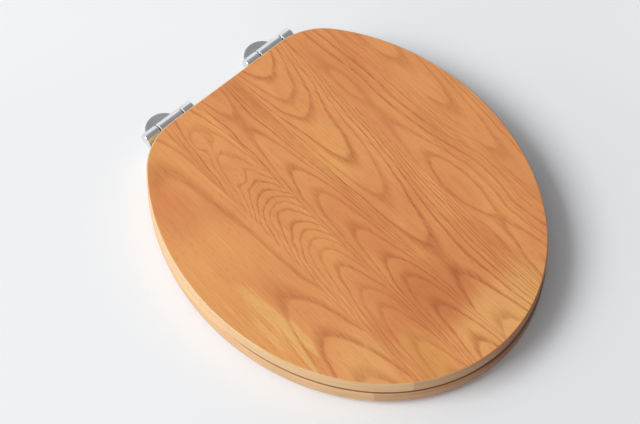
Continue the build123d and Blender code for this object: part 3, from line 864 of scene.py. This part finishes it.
# %% [markdown]
# ## Painted light on the table
# Painted light, a glow of the sheet seen only by the camera and in reflections, lifts it towards
# the back, the left and the far right, to match the photo. It adds no light to the seat.
# The share of this painted light depends on the place on the sheet, so it stays where it is in every view.
# Two directions on the table are enough to say where: away from the photographer, and to their left.
# Light Path tells a ray of the camera or of a mirror from a ray that carries light to the seat.

# %% Painted light on the table
BACK_WAY = Vector((0.669, 0.743, 0.0))
LEFT_WAY = Vector((-0.743, 0.669, 0.0))
PAINTED_LIGHT_COLOUR = (0.93, 0.95, 0.97)
PAINTED_LIGHT_BACK = (-0.12, 0.10, 0.0, 0.35)
PAINTED_LIGHT_BACK_SIDE = (-0.26, -0.12, 0.5, 1.0)
PAINTED_LIGHT_LEFT = (-0.10, 0.06, 0.06, 0.20)
PAINTED_LIGHT_FAR_RIGHT = (-0.60, -0.36, 0.16, 0.0)


def reach_along(tree, vector, way):
    """How far a vector reaches in a direction."""
    made = add(tree, "ShaderNodeVectorMath", operation="DOT_PRODUCT")
    put(tree, made.inputs[0], vector)
    put(tree, made.inputs[1], way)
    return made.outputs["Value"]


def seen_rays(tree):
    """1 for rays of the camera, of mirrors and through glass, and 0 for rays that carry light."""
    rays = add(tree, "ShaderNodeLightPath").outputs
    return chain(tree, "MAXIMUM", rays["Is Camera Ray"], rays["Is Glossy Ray"], rays["Is Transmission Ray"])


to_back = reach_along(table_tree, on_table, BACK_WAY)
to_left = reach_along(table_tree, on_table, LEFT_WAY)
painted_light_behind = calc(table_tree, "MULTIPLY", ease(table_tree, to_back, *PAINTED_LIGHT_BACK),
                   ease(table_tree, to_left, *PAINTED_LIGHT_BACK_SIDE))
painted_light = chain(table_tree, "ADD", painted_light_behind, ease(table_tree, to_left, *PAINTED_LIGHT_LEFT),
             ease(table_tree, to_left, *PAINTED_LIGHT_FAR_RIGHT))
# The sheet glows here as painted light, seen only by the camera and in reflections.
glow = add(table_tree, "ShaderNodeEmission", {"Color": PAINTED_LIGHT_COLOUR, "Strength": 1.0})
share = calc(table_tree, "MULTIPLY", seen_rays(table_tree), painted_light)
painted_light_sheet = add(table_tree, "ShaderNodeMixShader", {"Fac": share})
put(table_tree, painted_light_sheet.inputs[1], table_shader.outputs[0])
put(table_tree, painted_light_sheet.inputs[2], glow.outputs[0])
put(table_tree, table_tree.nodes["Material Output"].inputs["Surface"], painted_light_sheet.outputs[0])
print("haze colour", PAINTED_LIGHT_COLOUR)

# %% [markdown]
# ## The lamp
# A wide soft lamp stands to the left, so the left edges are bright and a soft shadow falls to the right.
# A sun would throw a hard shadow. An area lamp has an edge as soft as it is large.

# %% Lamp
LAMP_FROM = Vector((-0.90, 0.42, 1.00)).normalized()
LAMP_AIM = Vector((MIDDLE_X / MM, -0.22, 0.0))
LAMP_DISTANCE = 5.5
LAMP_SIZE = 2.75
LAMP_POWER = 240.0

lamp = bpy.data.objects.new("soft lamp", bpy.data.lights.new("soft lamp", "AREA"))
bpy.context.scene.collection.objects.link(lamp)
lamp.data.shape = "SQUARE"
lamp.data.size = LAMP_SIZE
lamp.data.energy = LAMP_POWER
lamp.location = LAMP_AIM + LAMP_FROM * LAMP_DISTANCE
lamp.rotation_euler = LAMP_FROM.to_track_quat("Z", "Y").to_euler()
print("lamp", LAMP_POWER, "W at", LAMP_DISTANCE, "m")

# %% [markdown]
# ## The surroundings
# The surroundings fill in the rest of the light, more from the left than from the right.
# Where they are seen in a mirror they are white near the horizon and grey above the front,
# which draws the white line and the grey band along the chrome barrels.
# One ramp of greys gives the light and another is seen, so the chrome is set without changing the light.

# %% World
FRONT_UP = Vector((0.30, -0.45, 0.84)).normalized()
FROM_LEFT = Vector((-0.93, 0.10, 0.35)).normalized()
FILL = 0.46
FILL_SIDES = (-0.7, 0.9, 0.30, 1.70)
LIGHT_STOPS = [(0.45, (1.0, 1.0, 1.0)), (0.72, (0.40, 0.40, 0.41)), (1.0, (0.26, 0.26, 0.27))]
MIRROR_STOPS = [(0.20, (1.0, 1.0, 1.0)), (0.52, (0.45, 0.45, 0.45)), (0.78, (0.34, 0.34, 0.34)),
                (1.0, (0.32, 0.32, 0.32))]

world = bpy.data.worlds.new("studio")
bpy.context.scene.world = world
world.use_nodes = True
air = world.node_tree
direction = add(air, "ShaderNodeTexCoord").outputs["Generated"]
front_up = reach_along(air, direction, FRONT_UP)
seen = seen_rays(air)
shade = blend(air, seen, ramp(air, front_up, LIGHT_STOPS), ramp(air, front_up, MIRROR_STOPS))
from_left = reach_along(air, direction, FROM_LEFT)
lighting = calc(air, "MULTIPLY", ease(air, from_left, *FILL_SIDES), FILL)
background = air.nodes["Background"]
put(air, background.inputs["Color"], shade)
put(air, background.inputs["Strength"], choose(air, seen, lighting, 1.0))
bpy.context.scene.view_settings.view_transform = "Standard"
print("fill", FILL)
